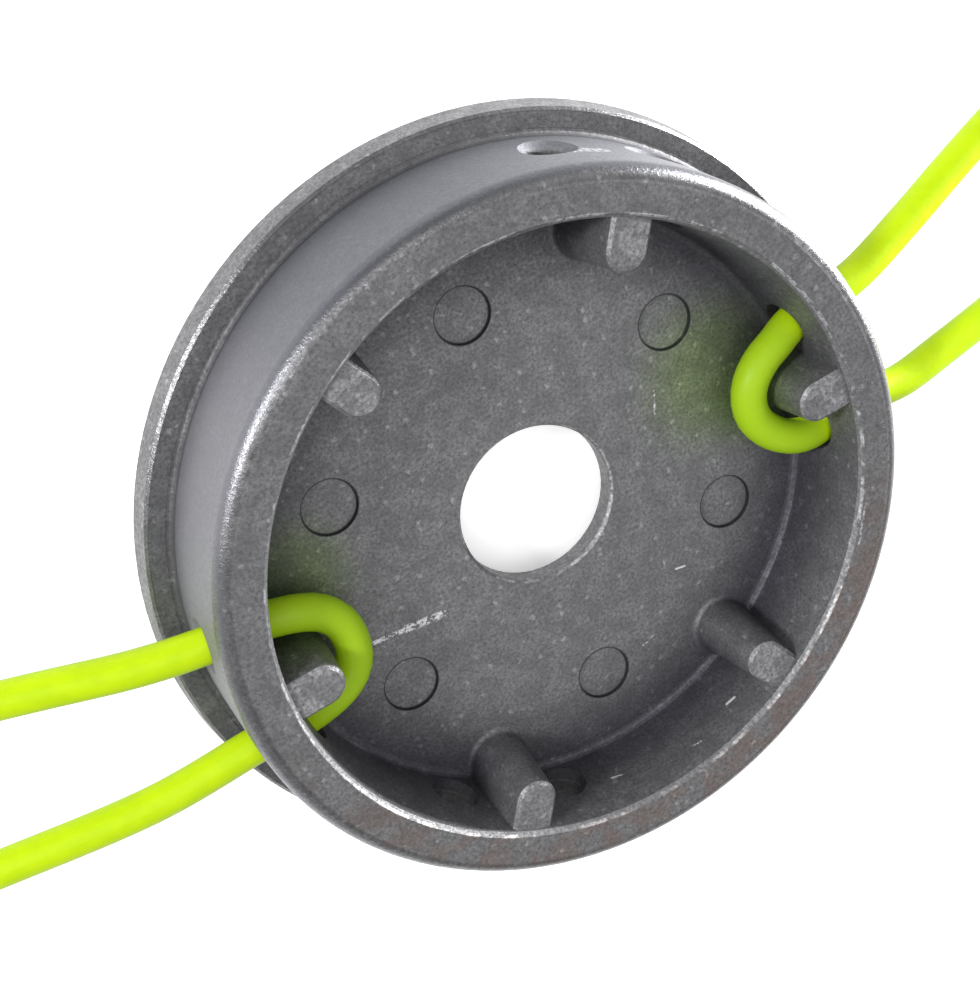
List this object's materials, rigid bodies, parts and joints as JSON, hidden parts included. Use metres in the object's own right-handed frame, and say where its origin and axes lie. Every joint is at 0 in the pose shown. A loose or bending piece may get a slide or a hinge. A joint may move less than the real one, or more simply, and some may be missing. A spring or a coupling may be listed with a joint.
{
  "type": "trimmer head",
  "caption": "Cast aluminium trimmer head: a flanged round cup with line posts inside and cutting lines looped through slanted holes.",
  "frame": {"origin": "on the axis of the central bore, at the back face of the flange", "axes": "+Z along the bore axis, out of the open cup; +X towards the post that carries the right line, -X towards the one that carries the left line"},
  "size_m": [0.2324, 0.0704, 0.0152],
  "materials": {
    "cast_aluminium": "as cast, dull grey, finely speckled, with small scratches",
    "line_nylon": "fluorescent yellow-green, smooth, slightly see-through"
  },
  "bodies": {
    "root": {"head_casting": "cast_aluminium", "line_left": "line_nylon", "line_right": "line_nylon"}
  },
  "joints": []
}
